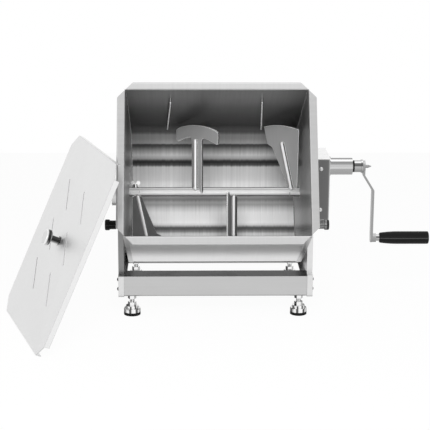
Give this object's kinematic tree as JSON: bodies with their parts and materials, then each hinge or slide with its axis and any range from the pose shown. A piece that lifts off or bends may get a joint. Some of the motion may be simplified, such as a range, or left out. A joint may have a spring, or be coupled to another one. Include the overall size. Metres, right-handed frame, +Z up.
{
  "type": "manual meat mixer",
  "caption": "Hand-cranked mixer with a tilting U-shaped tank on a folded base, a geared shaft with pitched paddles, and a slotted loose lid.",
  "frame": {"origin": "on the floor, midway between the centres of the four feet", "axes": "+X along the agitator shaft to the crank side, +Y to the back, away from the side that the tank tips to, +Z up"},
  "size_m": [1.002, 0.6035, 0.5528],
  "materials": {
    "frame_steel": "brushed",
    "fastener_steel": "turned",
    "plated_steel": "bright",
    "pad_rubber": "matt",
    "white_plastic": "matt",
    "cover_steel": "brushed",
    "tank_steel": "brushed",
    "bar_steel": "turned",
    "blade_steel": "ground",
    "gear_steel": "cut, oiled",
    "black_plastic": "satin",
    "lid_steel": "brushed"
  },
  "bodies": {
    "base": {"side_frame_left": "frame_steel", "side_frame_right": "frame_steel", "front_rail": "frame_steel", "rear_rail": "frame_steel", "rail_bolts": "fastener_steel", "foot_studs": "plated_steel", "foot_nuts": "plated_steel", "foot_cups": "plated_steel", "foot_pads": "pad_rubber", "frame_bush_left": "white_plastic", "frame_bush_right": "white_plastic", "pivot_cap": "frame_steel", "cap_screws": "fastener_steel", "lock_barrel_left": "fastener_steel", "lock_barrel_right": "fastener_steel", "gear_plate": "cover_steel", "plate_screws": "fastener_steel", "gear_cover": "cover_steel", "cover_screws": "fastener_steel", "crank_housing": "bar_steel", "crank_bush_inner": "white_plastic", "crank_bush_outer": "black_plastic"},
    "tank": {"tank_rear_wall": "tank_steel", "tank_trough": "tank_steel", "tank_end_left": "tank_steel", "tank_end_right": "tank_steel", "pivot_disc_left": "tank_steel", "pivot_disc_right": "tank_steel", "breaker_bars": "bar_steel", "shaft_bush_left": "white_plastic", "shaft_bush_right": "white_plastic"},
    "agitator": {"agitator_shaft": "bar_steel", "paddle_end_left": "blade_steel", "paddle_mid_left": "blade_steel", "paddle_mid_right": "blade_steel", "paddle_end_right": "blade_steel", "idle_stub": "bar_steel", "drive_stub": "bar_steel", "drive_gear": "gear_steel", "gear_nut": "fastener_steel"},
    "wing_screw": {"wing_screw": "plated_steel"},
    "crank": {"crank_shaft": "bar_steel", "crank_pinion": "gear_steel", "crank_collar": "bar_steel", "crank_arm": "bar_steel", "grip_pin": "plated_steel"},
    "grip": {"grip": "black_plastic"},
    "left_lock": {"lock_pin_left": "bar_steel", "lock_knob_left": "black_plastic"},
    "right_lock": {"lock_pin_right": "bar_steel", "lock_knob_right": "black_plastic"},
    "lid": {"lid_panel": "lid_steel", "lid_knob": "lid_steel", "lid_screw": "fastener_steel"}
  },
  "joints": [
    {"name": "tank_tilt", "type": "hinge", "parent": "base", "child": "tank", "pos_m": [0, -0.016, 0.2625], "axis": [1, 0, 0], "range_deg": [-62.5, 17.5]},
    {"name": "agitator_spin", "type": "hinge", "parent": "base", "child": "agitator", "pos_m": [0, -0.016, 0.2625], "axis": [1, 0, 0], "continuous": true},
    {"name": "crank_spin", "type": "hinge", "parent": "base", "child": "crank", "pos_m": [0.3, -0.016, 0.3245], "axis": [1, 0, 0], "continuous": true},
    {"name": "grip_spin", "type": "hinge", "parent": "crank", "child": "grip", "pos_m": [0.4, -0.016, 0.1485], "axis": [1, 0, 0], "continuous": true},
    {"name": "wing_screw_turn", "type": "hinge", "parent": "agitator", "child": "wing_screw", "pos_m": [-0.188, -0.016, 0.2625], "axis": [0, 0.1392, 0.9903], "continuous": true},
    {"name": "left_lock_slide", "type": "slide", "parent": "base", "child": "left_lock", "axis": [-1, 0, 0], "range_m": [0, 0.0125]},
    {"name": "right_lock_slide", "type": "slide", "parent": "base", "child": "right_lock", "axis": [1, 0, 0], "range_m": [-0.0125, 0]},
    {"name": "lid_lift", "type": "slide", "parent": "base", "child": "lid", "axis": [0, 0, 1], "range_m": [0, 0.25]}
  ],
  "couplings": [
    {"joint": "crank_spin", "follows": "agitator_spin", "ratio": -2.875}
  ]
}
